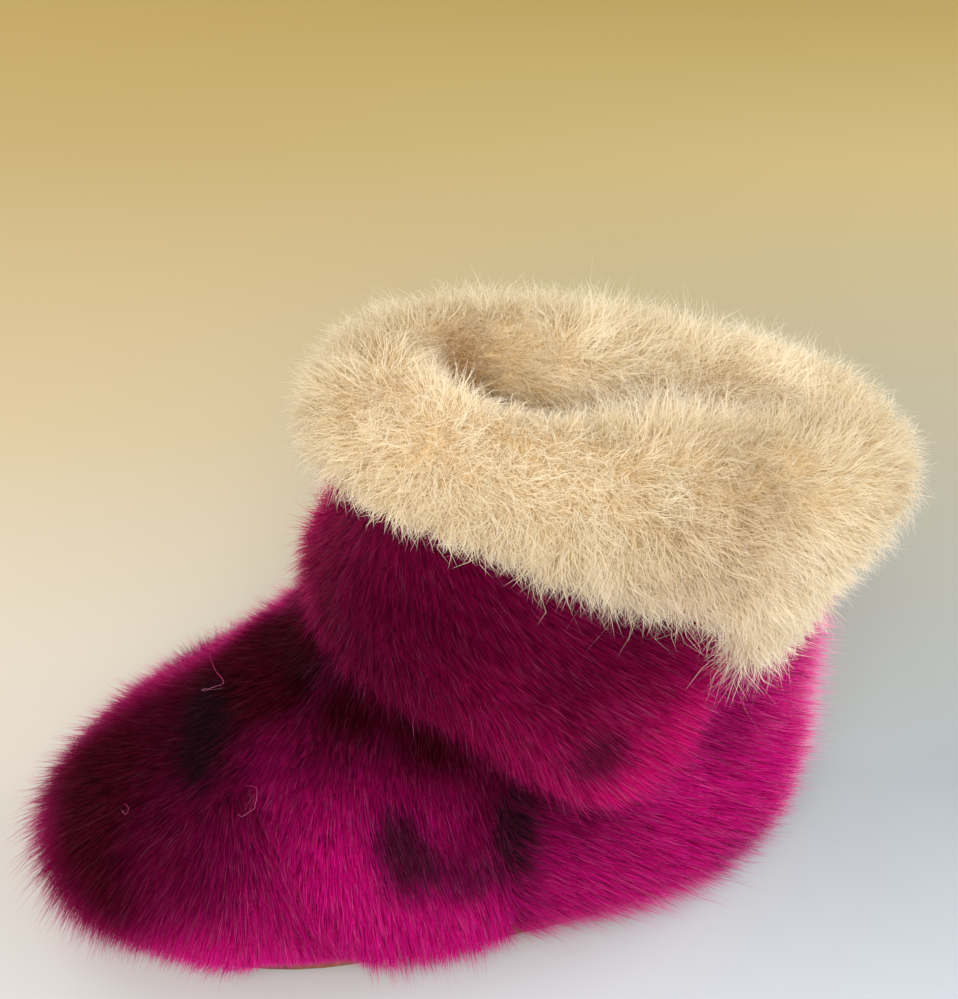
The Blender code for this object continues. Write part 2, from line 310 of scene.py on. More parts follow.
def faces_in(points, normals):
    """Whether each bit of skin looks inwards, at the line down the middle of foot and shaft."""
    spine = np.array(INNER_SPINE)
    nearest = spine[np.argmin(np.linalg.norm(points[:, None] - spine, axis=2), axis=1)]
    return (normals * (nearest - points)).sum(axis=1) > 0


# %% Creases
Crease = namedtuple("Crease", "name start end width depth")

# In millimetres. A negative depth is a ridge. Each is pressed along the skin's own normal.
UPPER_CREASES = (
    Crease("ankle hollow", (2, -32, 62), (30, -14, 55), 6.0, 1.8),
    Crease("ankle hollow, inner side", (-2, -32, 62), (-30, -14, 55), 6.0, 1.8),
    Crease("toe seam", (26, -36, 41), (41, -24, 10), 2.4, 1.0),
    Crease("toe seam, inner side", (-26, -36, 41), (-41, -24, 10), 2.4, 1.0),
    Crease("heel seam", (36, 7, 48), (40, 7, 8), 2.4, 1.0),
    Crease("heel seam, inner side", (-36, 7, 48), (-36, 7, 8), 2.4, 1.0),
    Crease("side hollow", (38, -12, 42), (39, 2, 26), 7.0, 1.2),
    Crease("toe dent", (4, -52, 48), (14, -44, 46), 9.0, 0.9),
    Crease("vamp's inner flank", (-15, -68, 28), (-24, -38, 42), 15.0, 2.4),
    Crease("heel slouch", (30, 52, 34), (12, 74, 40), 7.0, 1.1),
    Crease("heel slouch, inner side", (-30, 52, 34), (-12, 74, 40), 7.0, 1.1),
)
CUFF_CREASES = (
    Crease("slouch fold", (12, -22, 82), (33, 14, 70), 5.0, 1.3),
    Crease("slouch ridge", (20, -14, 74), (36, 26, 58), 6.0, -1.0),
    Crease("rear tuck", (36, 22, 62), (32, 44, 58), 4.0, 1.2),
    Crease("inner slouch", (-14, -20, 80), (-34, 18, 66), 5.0, 1.3),
)


# %% Rounding and pressing a skin
WELD_DISTANCE = 0.01 * MM


def paired_copy(node_name, prepare=None):
    """The node's mesh as a bmesh of mostly four-sided faces, welded where it was split."""
    bm = bmesh.new()
    bm.from_mesh(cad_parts[node_name].data)
    bmesh.ops.remove_doubles(bm, verts=bm.verts, dist=WELD_DISTANCE)
    if prepare:
        prepare(bm)
    bmesh.ops.join_triangles(
        bm, faces=bm.faces, angle_face_threshold=math.pi, angle_shape_threshold=math.pi
    )
    return bm


def press_creases(points, normals, creases):
    """Moves points, in mm, along the skin's outer side into soft troughs and ridges. Both faces
    of a wall move together."""
    moved = points.copy()
    normals = np.where(faces_in(points, normals)[:, None], -normals, normals)
    for crease in creases:
        start, end = np.array(crease.start, float), np.array(crease.end, float)
        run = end - start
        share = np.clip((points - start) @ run / (run @ run), 0, 1)
        away = np.linalg.norm(points - start - share[:, None] * run, axis=1)
        press = crease.depth * soft_ball(away / crease.width)
        moved -= normals * press[:, None]
    return moved


def read_rows(items, name, kind=float):
    """Three numbers that each item has under this name, as an array of rows."""
    values = np.empty(len(items) * 3, dtype=kind)
    items.foreach_get(name, values)
    return values.reshape(-1, 3)


def mesh_arrays(mesh):
    """A mesh's points in mm, its smooth point normals, and its triangles."""
    mesh.calc_loop_triangles()
    triangles = read_rows(mesh.loop_triangles, "vertices", np.int32)
    return read_rows(mesh.vertices, "co") / MM, read_rows(mesh.vertex_normals, "vector"), triangles


def smooth_skin(name, node_name, sink, creases=(), prepare=None):
    """A subdivided, creased copy of a CAD node that stands for it. sink tells how deep under
    the node's own surface it lies, so that short hair ends near that surface."""
    bm = paired_copy(node_name, prepare)
    rough = bpy.data.meshes.new(name + "_rough")
    bm.to_mesh(rough)
    bm.free()
    maker = into_scene(name + "_maker", rough)
    rounded = maker.modifiers.new("rounded", "SUBSURF")
    rounded.levels = rounded.render_levels = 1
    graph = bpy.context.evaluated_depsgraph_get()
    mesh = bpy.data.meshes.new_from_object(maker.evaluated_get(graph))
    bpy.data.objects.remove(maker)
    mesh.name = name
    points, normals, _ = mesh_arrays(mesh)
    depth = sink(points, normals)[:, None]
    points = press_creases(points, normals, creases) - normals * depth
    mesh.vertices.foreach_set("co", (points * MM).ravel())
    mesh.shade_smooth()
    mesh.update()
    skin = into_scene(name, mesh)
    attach(skin, "root")
    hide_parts(node_name)
    print(name, len(mesh.loop_triangles), "triangles")
    return skin


# %% [markdown]
# The collar's solid carries coarse locks of wool, one pointed apex on every other facet. The
# strands below replace them, so each apex, the only kind of point with four neighbours that
# stands well away from their middle, is dissolved again before the roll is rounded.

# %% The skins
# In millimetres: how far a lock's apex stands out, and how deep the skins lie under the solids.
LOCK_REACH = 3.0
HAIR_BACKING_DEPTH = 1.1
WOOL_BACKING_DEPTH = 1.2


def under_hair(points, normals):
    return np.where(faces_in(points, normals), 0.0, HAIR_BACKING_DEPTH)


def under_wool(points, normals):
    return np.full(len(points), WOOL_BACKING_DEPTH)


def flatten_locks(bm):
    apexes = []
    for vert in bm.verts:
        if len(vert.link_edges) == 4:
            around = [edge.other_vert(vert).co for edge in vert.link_edges]
            middle = sum(around, Vector()) / 4
            if (vert.co - middle).length > LOCK_REACH * MM:
                apexes.append(vert)
    bmesh.ops.dissolve_verts(bm, verts=apexes)
    print("locks flattened:", len(apexes))


upper_skin = smooth_skin("upper_skin", "upper", under_hair, UPPER_CREASES)
cuff_skin = smooth_skin("cuff_skin", "ankle_cuff", under_hair, CUFF_CREASES)
collar_roll = smooth_skin("collar_roll", "fur_collar", under_wool, prepare=flatten_locks)

# %% [markdown]
# ## Growing hair
#
# A coat is grown in four steps. Roots are scattered over a skin's triangles, even by area. Each
# root takes the comb direction of its place, which a tanner's hand and the animal's own nap set.
# A strand rises at its lift angle and bends over towards its lie angle. Last, strands of wool and
# fleece near one another lean together into clumps, which is what makes them read as wool and not
# as bristle. The dyed hair is short and smooth, and stays as it is combed.


# %% Roots
def unit(vectors):
    """Vectors, along the last axis, brought to length 1."""
    return vectors / np.maximum(np.linalg.norm(vectors, axis=-1, keepdims=True), 1e-9)


def scatter(skin, count, rng, wanted):
    """Random roots on a skin, in mm, with their normals: even by area, where wanted is true."""
    points, normals, triangles = mesh_arrays(skin.data)
    corners = points[triangles]
    edges = corners[:, 1:] - corners[:, :1]
    areas = np.linalg.norm(np.cross(edges[:, 0], edges[:, 1]), axis=1) / 2
    areas = areas * wanted(corners.mean(axis=1), unit(normals[triangles].mean(axis=1)))
    print(f"  {skin.name} shows {areas.sum():.0f} mm2, {count / areas.sum():.2f} strands a mm2")
    picked = rng.choice(len(triangles), size=count, p=areas / areas.sum())
    first, second = rng.random((2, count, 1))
    flip = first + second > 1
    first, second = np.where(flip, 1 - first, first), np.where(flip, 1 - second, second)
    weights = (1 - first - second, first, second)
    roots = sum(weight * points[triangles[picked, i]] for i, weight in enumerate(weights))
    facing = unit(sum(weight * normals[triangles[picked, i]] for i, weight in enumerate(weights)))
    return roots, facing


def skin_tree(*skins):
    """A search tree over all these skins' triangles, in mm."""
    points, triangles, start = [], [], 0
    for skin in skins:
        skin_points, _, skin_triangles = mesh_arrays(skin.data)
        points.append(skin_points)
        triangles.append(skin_triangles + start)
        start += len(skin_points)
    return BVHTree.FromPolygons(np.vstack(points).tolist(), np.vstack(triangles).tolist())


# In millimetres off the root, so that a ray misses the skin that it starts from.
RAY_START = 0.2


def covered(roots, normals, tree, reach):
    """Whether something lies within this reach straight out from each root."""
    starts = (roots + normals * RAY_START).tolist()
    rays = zip(starts, normals.tolist())
    return np.array([tree.ray_cast(start, way, reach)[0] is not None for start, way in rays])


# %% The run of a strand
# Length, width, curl and the distance between clumps in mm. Lift at the root, lie at the tip and
# wobble in degrees from the skin, stray in radians. Vary, limits (of the length) and pull are
# shares.
COAT_VALUES = "length vary limits width lift lie wobble bends stray curl clump pull"
Coat = namedtuple("Coat", COAT_VALUES, defaults=(0, 0, 0))
quick_share = 1.0
# A curl goes round this many times, and stands up less than it swings sideways.
CURL_TURNS = (0.5, 1.2)
CURL_FLATNESS = 0.6


def start_coat(skin, coat, strands, wanted, seed):
    """A coat's own random numbers, and its strands' roots, skin normals and lengths."""
    rng = np.random.default_rng(seed)
    roots, normals = scatter(skin, int(strands * quick_share), rng, wanted)
    varied = (1 + rng.normal(0, coat.vary, len(roots))).clip(*coat.limits)
    return rng, roots, normals, coat.length * varied


def strand_lines(roots, normals, combs, lengths, coat, rng, rise=1.0):
    """The points along each strand: (strands, bends + 1, 3). rise scales how far each stands up."""
    count = len(roots)
    along_skin = unit(combs - normals * (combs * normals).sum(axis=1, keepdims=True))
    across = np.cross(normals, along_skin)
    turn = rng.normal(0, coat.stray, (count, 1))
    along_skin = along_skin * np.cos(turn) + across * np.sin(turn)
    wobble = np.radians(rng.normal(0, coat.wobble, (count, 1)))
    scale = np.broadcast_to(rise, (count,))[:, None]
    lines = [roots]
    for bend in range(coat.bends):
        share = bend / max(coat.bends - 1, 1)
        angle = np.radians(coat.lift + (coat.lie - coat.lift) * share) * scale + wobble
        heading = along_skin * np.cos(angle) + normals * np.sin(angle)
        lines.append(lines[-1] + heading * lengths[:, None] / coat.bends)
    lines = np.stack(lines, axis=1)
    if coat.curl:
        phase = rng.random((count, 1)) * 2 * math.pi
        turns = rng.uniform(*CURL_TURNS, (count, 1)) * 2 * math.pi
        share = np.linspace(0, 1, coat.bends + 1)
        wave = (np.sin(phase + turns * share) - np.sin(phase))[..., None]
        swing = (np.cos(phase + turns * share) - np.cos(phase))[..., None]
        across = np.cross(normals, along_skin)[:, None]
        lines += coat.curl * (wave * across + CURL_FLATNESS * swing * normals[:, None])
    return lines


# %% Clumps
# Clumps to a cell as wide as their spacing, and how late along a strand it gathers.
CLUMP_FILL = 0.7
CLUMP_GATHER = 1.5


def clump_count(roots, spacing):
    """How many clumps this far apart, in mm, the roots' own area holds."""
    cells = np.unique(np.floor(roots / spacing).astype(int), axis=0)
    return min(len(roots), max(1, int(len(cells) * CLUMP_FILL)))


def pull_clumps(lines, coat, rng):
    """Leans strands towards the nearest clump leader, more at the tip than at the root."""
    roots = lines[:, 0]
    leaders = rng.choice(len(roots), size=clump_count(roots, coat.clump), replace=False)
    tree = KDTree(len(leaders))
    for index, leader in enumerate(leaders):
        tree.insert(roots[leader], index)
    tree.balance()
    nearest = leaders[[tree.find(root)[1] for root in roots.tolist()]]
    share = np.linspace(0, 1, lines.shape[1])[None, :, None] ** CLUMP_GATHER
    return lines + (lines[nearest] - lines) * share * coat.pull


# %% [markdown]
# A ribbon is cheap, but a flat one looks like cut paper. Two tricks make it read as a round
# hair: the normals of its two edges are splayed apart, so light rolls across its width, and both
# follow the skin's normal, so that the whole coat is lit as one soft form. Each strand also gets
# its own small cell in a UV map, root at the bottom and tip at the top, so that its colours can
# be baked for other programs.


# %% Meshes and marks
def triangle_mesh(name, points, triangles):
    """A mesh from arrays of points, in mm, and triangles."""
    mesh = bpy.data.meshes.new(name)
    mesh.vertices.add(len(points))
    mesh.vertices.foreach_set("co", (points * MM).ravel())
    mesh.loops.add(triangles.size)
    mesh.loops.foreach_set("vertex_index", triangles.ravel())
    mesh.polygons.add(len(triangles))
    mesh.polygons.foreach_set("loop_start", np.arange(0, triangles.size, 3))
    mesh.update(calc_edges=True)
    return mesh


def add_mark(mesh, name, values):
    """A value for each point, which materials read with an Attribute node."""
    mesh.attributes.new(name, "FLOAT", "POINT").data.foreach_set("value", values.astype(np.float32))


# %% Ribbon meshes
CELLS_A_SIDE = 256
CELL_EDGE = 0.2
SPLAY = math.radians(24)
# In radians: how far ribbons roll about their own line, and how unevenly they face the light.
ROLL = 0.6
DYED_TILT = 0.32
WOOL_TILT = 0.12
# How much of its width a strand has lost before its last point.
TIP_TAPER = 0.55
# In millimetres: below this height a strand bends, and it ends no nearer the floor than this.
FLOOR_BEND_FROM = 1.0
FLOOR_CLEARANCE = 0.25
FLOOR_BEND = 2.0


def keep_off_floor(points):
    """Bends whatever would dip under the floor along it, in mm."""
    height = points[..., 2]
    sag = np.exp((height - FLOOR_BEND_FROM) / FLOOR_BEND)
    bent = FLOOR_CLEARANCE + (FLOOR_BEND_FROM - FLOOR_CLEARANCE) * sag
    points[..., 2] = np.where(height < FLOOR_BEND_FROM, bent, height)
    return points


def ribbon_object(name, lines, normals, widths, marks, rng, material, spread):
    """One mesh of flat ribbons, tapered to a point. marks are values each strand keeps, and spread
    is how far, in radians, the strands differ in the way they face the light."""
    lines = keep_off_floor(lines)
    count, rows = lines.shape[:2]
    heading = unit(np.gradient(lines, axis=1))
    lean = (heading * normals[:, None]).sum(axis=2, keepdims=True)
    outward = unit(normals[:, None] - heading * lean)
    across = np.cross(heading, outward)
    roll = rng.uniform(-ROLL, ROLL, (count, 1, 1))
    edge = across * np.cos(roll) + outward * np.sin(roll)
    taper = 1 - TIP_TAPER * np.linspace(0, 1, rows)[None, :, None] ** 2
    half = edge * widths[:, None, None] * taper / 2
    tilt = rng.normal(0, spread, (count, 1, 1))
    points = np.stack((lines - half, lines + half), axis=2)[:, :-1].reshape(count, -1, 3)
    points = np.concatenate((points, lines[:, -1:]), axis=1)
    turns = (tilt - SPLAY, tilt + SPLAY)
    sides = [outward * np.cos(turn) + across * np.sin(turn) for turn in turns]
    facing = np.stack(sides, axis=2)[:, :-1].reshape(count, -1, 3)
    facing = np.concatenate((facing, outward[:, -1:]), axis=1)
    each = points.shape[1]
    pattern = []
    for near in range(0, each - 3, 2):
        pattern += [(near, near + 1, near + 3), (near, near + 3, near + 2)]
    pattern.append((each - 3, each - 2, each - 1))
    triangles = np.array(pattern)[None] + (np.arange(count) * each)[:, None, None]
    mesh = triangle_mesh(name, points.reshape(-1, 3), triangles.reshape(-1, 3))
    along = np.append(np.repeat(np.linspace(0, 1, rows)[:-1], 2), 1.0)
    sideways = np.append(np.tile((0.0, 1.0), rows - 1), 0.5)
    add_mark(mesh, "along", np.tile(along, count))
    for mark, values in marks.items():
        add_mark(mesh, mark, np.repeat(values, each))
    cells = np.arange(count) % (CELLS_A_SIDE * CELLS_A_SIDE)
    u = (cells[:, None] % CELLS_A_SIDE + CELL_EDGE + (1 - 2 * CELL_EDGE) * sideways) / CELLS_A_SIDE
    v = (cells[:, None] // CELLS_A_SIDE + CELL_EDGE + (1 - 2 * CELL_EDGE) * along) / CELLS_A_SIDE
    places = np.stack((u, v), axis=2).reshape(-1, 2)[triangles.ravel()]
    mesh.uv_layers.new(name="OFBake").data.foreach_set("uv", places.ravel())
    mesh.shade_smooth()
    mesh.normals_split_custom_set_from_vertices(facing.reshape(-1, 3).tolist())
    mesh.materials.append(material)
    made = into_scene(name, mesh)
    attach(made, "root")
    print(name, count, "strands,", len(mesh.polygons), "triangles")
    return made


# %% [markdown]
# ## The dye, with painted light and shade
#
# The skin is a spotted one, dyed magenta: pale hair takes the dye bright, and the animal's dark
# spots stay almost black. The toe cap, the vamp and the cuff's front are darker, partly from the
# dye and partly as painted shade. Painted shade also lies in the ankle hollow and under the cuff's
# hem. Painted rim light brightens the hair wherever the boot turns away from the camera, along the
# sole, behind the heel and along the cuff's lower and rear edges. Pale tips paint glints on some
# hairs and this rim light on many more, and pale a smudge on the heel. The cuff's skin came out of
# a redder bath. Zones and spots are soft balls, and each hair keeps what they say at its root as
# marks, which the material reads.

# %% Zones of dye and painted light and shade
Zone = namedtuple("Zone", "name panel centre reach change")

# In millimetres, from the point where the foot's middle meets the floor.
DYE_BASE = 0.52
# Painted rim light comes in where the skin faces this way, away from the camera, between the two
# limits: the hair there is brighter, more of it has pale tips, and its pile is longer. Painted
# light brightens the hair along the sole's edge, too.
RIM_LIGHT_FACING = np.array((-0.77, 0.18, -0.61))
RIM_LIGHT_LIMITS = (-0.42, 0.05)
RIM_LIGHT_GAIN = 0.8
RIM_LIGHT_TIPS = 0.2
RIM_PILE = 0.2
SOLE_EDGE_LIGHT = 0.7
SOLE_EDGE_HEIGHT = 7.5
# Besides the dye, these zones paint light and shade. The toe cap, the vamp and the cuff's front,
# upper and side rows are darker partly from the dye and partly as painted shade. The ankle and the
# rows under the cuff are painted shade, in the ankle hollow and under the cuff's hem. The toe's
# rims, the lower edges and feet, the heel back and the cuff's lower and rear edges are painted light
# on the hair's rim.
DYE_AND_LIGHT_ZONES = (
    Zone("toe cap", "toe", (5, -70, 26), 28, -0.57),
    Zone("toe cap, outer side", "toe", (24, -64, 19), 8, -0.25),
    Zone("toe cap, flank", "toe", (29, -47, 28), 8, -0.2),
    Zone("toe's rim, front", "toe", (1, -77, 21), 8, 0.65),
    Zone("toe's rim, low", "toe", (13, -73, 9), 9, 0.5),
    Zone("vamp", "toe", (0, -34, 58), 26, -0.5),
    Zone("vamp's outer side", "upper", (19, -31.5, 47), 8, -0.12),
    Zone("ankle", "upper", (20, -14, 62), 18, -0.32),
    Zone("under the cuff, front", "upper", (18, -23, 57), 10, -0.35),
    Zone("under the cuff, side", "upper", (26, -4, 54), 9, -0.45),
    Zone("under the cuff, heel seam", "upper", (32, 8, 44), 8, -0.55),
    Zone("under the cuff, heel side", "upper", (30, 21, 37), 8, -0.3),
    Zone("under the cuff, rear", "upper", (23, 50, 45), 9, -0.4),
    Zone("toe's lower edge, front", "toe", (24, -61, 6), 9, 0.4),
    Zone("toe's lower edge", "toe", (34, -44, 4), 16, 0.8),
    Zone("along the toe seam", "toe", (30, -36, 30), 10, 0.15),
    Zone("side panel's front", "side", (37, -22, 30), 14, 0.45),
    Zone("side panel's middle", "side", (34, -3, 34), 6, -0.35),
    Zone("side panel's foot", "side", (41, -3, 9), 18, 0.5),
    Zone("toe seam's lower end", "side", (42, -26, 8), 12, 0.1),
    Zone("heel side", "heel", (32, 34, 12), 22, 0.15),
    Zone("heel's lower edge", "heel", (36, 24, 2), 18, 0.35),
    Zone("heel's front foot", "heel", (40, 12, 9), 10, 0.35),
    Zone("below the cuff, rear side", "heel", (28, 41, 35), 7, 0.25),
    Zone("heel back", "heel", (6, 78, 40), 34, 0.75),
    Zone("cuff's front", "cuff", (16, -15, 72), 22, -0.3),
    Zone("cuff's upper side", "cuff", (28, 6, 84), 18, -0.2),
    Zone("cuff's upper rear", "cuff", (30, 30, 76), 13, -0.3),
    Zone("cuff's side", "cuff", (33, 15, 68), 7, -0.2),
    Zone("cuff's lower edge, side", "cuff", (33, 12, 52), 7, 0.1),
    Zone("cuff's lower edge, rear side", "cuff", (33, 27, 43), 9, 0.6),
    Zone("cuff's rear edge", "cuff", (28, 40, 54), 8, 0.35),
    Zone("inner side's foot", "upper", (-38, 0, 6), 30, 0.2),
)

# %% Rim light and smudge, pile, spots and painted shade
# Pale tips here paint rim light behind the heel and along its lower edge, and pale a smudge on the
# heel.
RIM_LIGHT_AND_SMUDGE_ZONES = (
    Zone("heel back", "heel", (4, 78, 45), 36, 1.2),
    Zone("heel's lower edge", "heel", (36, 36, 3), 26, 1.0),
    Zone("heel smudge", "heel", (30, 54, 12), 10, 0.3),
)
PILE_ZONES = (
    Zone("cuff's lower edge, rear side", "cuff", (33, 27, 43), 9, 0.4),
    Zone("cuff's rear edge", "cuff", (28, 42, 54), 8, 0.3),
    Zone("heel back", "heel", (6, 78, 40), 28, 0.4),
    Zone("heel's lower edge", "heel", (36, 40, 3), 20, 0.8),
    Zone("toe's lower edge, front", "toe", (14, -72, 6), 12, 0.7),
    Zone("side panel's foot", "side", (42, -8, 3), 14, 0.7),
    Zone("toe's front", "toe", (0, -80, 16), 20, 0.55),
)
Spot = namedtuple("Spot", "name centre reach depth")
SPOT_WANDER = 1.3
SPOT_EDGE = (0.75, 1.15)
DARK_SPOTS_AND_SHADE = (
    Spot("vamp spot, upper", (5, -42, 48), (8, 6.5, 7), 1.0),
    Spot("vamp spot, lower", (10.5, -44.5, 44), (8, 4.2, 7), 1.0),
    Spot("side spot, front, upper", (34, -13.5, 38.5), (10, 5.5, 6), 0.85),
    Spot("side spot, front, lower", (35, -11.5, 32), (10, 6.5, 5.5), 0.8),
    Spot("side spot, joining", (38, -0.5, 28), (9, 7, 4.6), 0.7),
    Spot("side spot, heel seam", (36, 7, 38), (10, 4.6, 14), 1.0),
    Spot("side spot, lower end", (38, 8, 20), (10, 3, 9), 0.25),
    # Not a spot of the skin: painted shade in the ankle hollow.
    Spot("ankle hollow, painted shade", (13, -26, 62), (10, 6, 5), 0.8),
    Spot("cuff spot", (37, 20, 56), (8, 6, 6.5), 0.65),
    Spot("heel smudge", (30, 54, 12), (12, 12, 7), 0.35),
    Spot("inner spot, toe", (-24, -40, 30), (8, 9, 8), 0.8),
    Spot("inner spot, heel", (-32, 34, 28), (8, 12, 9), 0.9),
    Spot("inner spot, ankle", (-34, -4, 40), (8, 6, 7), 0.7),
)

# %% What the dye and the painted light and shade leave at a point
def zone_sum(zones, points, normals, on_cuff):
    """What all zones together change at each point, in mm."""
    shares = {"cuff": float(on_cuff), "upper": float(not on_cuff)}
    for panel, share in zip(("toe", "side", "heel"), panel_shares(points, normals)):
        shares[panel] = share * shares["upper"]
    total = np.zeros(len(points))
    for zone in zones:
        away = np.linalg.norm(points - zone.centre, axis=1) / zone.reach
        total += zone.change * soft_ball(away) * shares[zone.panel]
    return total


def turned_away(normals):
    """How far the skin turns down and inwards, away from the camera, where painted rim light begins.
    """
    return soft_step(normals @ RIM_LIGHT_FACING, *RIM_LIGHT_LIMITS)


def along_sole(points):
    """1 where the foot meets the floor, and soon 0 above it."""
    return soft_ball(points[:, 2] / SOLE_EDGE_HEIGHT)


def dye_and_light_marks(points, normals, on_cuff, rng=None):
    """How brightly the hair at these points, in mm, is dyed, with painted light and shade in it, and
    how dark the spots and the painted shade in the ankle hollow make it.
    """
    dye_and_light = DYE_BASE + SOLE_EDGE_LIGHT * along_sole(points)
    dye_and_light = np.clip(dye_and_light + zone_sum(DYE_AND_LIGHT_ZONES, points, normals, on_cuff), 0, 1)
    dye_and_light += RIM_LIGHT_GAIN * turned_away(normals) * (1 - dye_and_light)
    clear = np.ones(len(points))
    wander = np.zeros_like(points) if rng is None else rng.normal(0, SPOT_WANDER, points.shape)
    for spot in DARK_SPOTS_AND_SHADE:
        away = np.linalg.norm((points + wander - spot.centre) / spot.reach, axis=1)
        clear *= 1 - spot.depth * (1 - soft_step(away, *SPOT_EDGE))
    return np.clip(dye_and_light, 0, 1), 1 - clear


# %% The dyed hair's colours
HAIR_IOR = 1.55
# Colours from root to tip, each darker at the root as painted shade where the hairs pack and
# paler at the tip as a painted highlight: where the hair is dyed deep, where it is dyed bright, in
# the cuff's redder bath, on a dark spot and the painted shade in the ankle hollow, on a pale tip,
# which paints glints and rim light and pales the fibres and a smudge, and the first two again for
# light that passes through.
DEEP_STOPS = ((0.0, "0E0003"), (0.5, "24020B"), (0.75, "3C0314"), (1.0, "8C0C42"))
MAGENTA_STOPS = ((0.0, "6C0340"), (0.45, "C00476"), (0.8, "E0109C"), (1.0, "F044B8"))
CRIMSON_STOPS = ((0.0, "6C0334"), (0.45, "C20468"), (0.8, "E4108A"), (1.0, "F444A8"))
SPOT_AND_SHADE_STOPS = ((0.0, "0C0408"), (0.6, "2A121E"), (1.0, "583040"))
FROST_AND_GLINT_STOPS = ((0.0, "980858"), (0.4, "F868B4"), (1.0, "FFCCE8"))
LIT_DEEP_STOPS = ((0.0, "240210"), (0.5, "740828"), (1.0, "DC3C74"))
LIT_BRIGHT_STOPS = ((0.0, "780440"), (0.5, "E80C8C"), (1.0, "FF58BC"))

# %% Dyed hair and the skin under it
# The short hair under the rest shows only as flecks, one hair wide, in mm.
UNDERFUR_FLECK = 0.12


def colour_layers(add, along, deep_stops, bright_stops):
    """A hair's colour: deeply dyed, brightly dyed over it where dyeing and painted light make it
    bright, then dark spots and painted shade, then pale tips.
    """
    colour = add("ValToRGB", {"Fac": along}, deep_stops)
    for mark, stops in (("dye_and_light", bright_stops), ("spot", SPOT_AND_SHADE_STOPS), ("frost_and_glint", FROST_AND_GLINT_STOPS)):
        share = add("Attribute", attribute_name=mark).outputs["Fac"]
        over = add("ValToRGB", {"Fac": along}, stops)
        colour = add("Mix", {0: share, 6: colour, 7: over}, data_type="RGBA").outputs[2]
    return colour


def light_through_hair(add, along, shader):
    """Light passes through a hair, most where dyeing and painted shade make it dark, and towards its
    thin tip.
    """
    dye_and_light = add("Attribute", attribute_name="dye_and_light").outputs["Fac"]
    by_dye_and_light = add("MapRange", {"Value": dye_and_light, "To Min": 0.85, "To Max": 0.5})
    by_place = add("MapRange", {"Value": along, "To Min": 0.3, "To Max": 1.0})
    thin = add("Math", {0: by_dye_and_light, 1: by_place}, operation="MULTIPLY")
    passed = colour_layers(add, along, LIT_DEEP_STOPS, LIT_BRIGHT_STOPS)
    return add("MixShader", {0: thin, 1: shader, 2: add("BsdfTranslucent", {"Color": passed})})


def dyed_fur_material(name, bright_stops, single_hairs):
    """Dyed seal-type hair: a smooth keratin shaft, glossy, painted darker at the root as shade where
    the hairs pack and paler at the tip as a highlight. Single hairs know how far along them a point
    lies. On the skin below, flecks stand for that."""
    material, add = new_material(name)
    if single_hairs:
        along = add("Attribute", attribute_name="along").outputs["Fac"]
    else:
        place = add("TexCoord").outputs["Object"]
        scale = 1.0 / (UNDERFUR_FLECK * MM)
        fleck = add("TexNoise", {"Vector": place, "Scale": scale, "Detail": 3.0})
        along = add("MapRange", {"Value": fleck, "To Min": 0.15, "To Max": 0.6}).outputs[0]
    finish = {
        "Base Color": colour_layers(add, along, DEEP_STOPS, bright_stops),
        "Roughness": 0.42,
        "IOR": HAIR_IOR,
        "Specular IOR Level": 0.11,
        "Specular Tint": linear("FF4684"),
        "Sheen Weight": 0.02,
        "Sheen Roughness": 0.35,
        "Sheen Tint": linear("E0409A"),
    }
    surface = add("BsdfPrincipled", finish)
    if single_hairs:
        surface = light_through_hair(add, along, surface)
    add("OutputMaterial", {"Surface": surface})
    return material


dyed_hair = dyed_fur_material("dyed_seal_hair", MAGENTA_STOPS, single_hairs=True)
dyed_underfur = dyed_fur_material("dyed_underfur", MAGENTA_STOPS, single_hairs=False)
cuff_hair = dyed_fur_material("cuff_seal_hair", CRIMSON_STOPS, single_hairs=True)
cuff_underfur = dyed_fur_material("cuff_underfur", CRIMSON_STOPS, single_hairs=False)
print("dyed fur:", dyed_hair.name, "and", cuff_hair.name)

# %% [markdown]
# ## Combing the dyed fur
#
# Hair lies as it grew. On the toe cap it fans forward from the ankle and down both sides, and
# turns back where it meets the toe seam. On the side panel it hangs straight down. On the heel it
# runs back, nearly level. The cuff is a strip cut on the slant, so its hair runs back and down.


# %% Comb directions
# In millimetres: where the toe's fan has opened fully, and how far off its seam turns the hair.
FAN_HALF_WIDTH = 18.0
SEAM_TURN_REACH = 14
# Along the boot, where the cuff's hair turns back more and more.
CUFF_TURNS_BACK = (-10, 45)


def combs_of_upper(points, normals):
    toe, side, heel = panel_shares(points, normals)
    near_seam = soft_ball(behind_toe_seam(points) / SEAM_TURN_REACH)
    near_seam *= np.abs(points[:, 0]) > FAN_HALF_WIDTH
    ones = np.ones(len(points))
    outward = 0.3 * np.clip(points[:, 0] / FAN_HALF_WIDTH, -1, 1)
    toe_comb = np.stack((outward, -0.45 * ones + 1.1 * near_seam, -ones), axis=1)
    side_comb = np.array((0, 0.12, -1))
    heel_comb = np.array((0, 1, -0.3))
    return toe[:, None] * toe_comb + side[:, None] * side_comb + heel[:, None] * heel_comb


def combs_of_cuff(points, normals):
    back = soft_step(points[:, 1], *CUFF_TURNS_BACK)
    ones = np.ones(len(points))
    return np.stack((0 * ones, 0.75 + 0.7 * back, -0.9 * ones), axis=1)


# %% Mark the skins and clothe them
def mark_skin(skin, material):
    points, normals, _ = mesh_arrays(skin.data)
    dye_and_light, spot = dye_and_light_marks(points, normals, skin is cuff_skin)
    add_mark(skin.data, "dye_and_light", dye_and_light)
    add_mark(skin.data, "spot", spot)
    skin.data.materials.clear()
    skin.data.materials.append(material)


mark_skin(upper_skin, dyed_underfur)
mark_skin(cuff_skin, cuff_underfur)

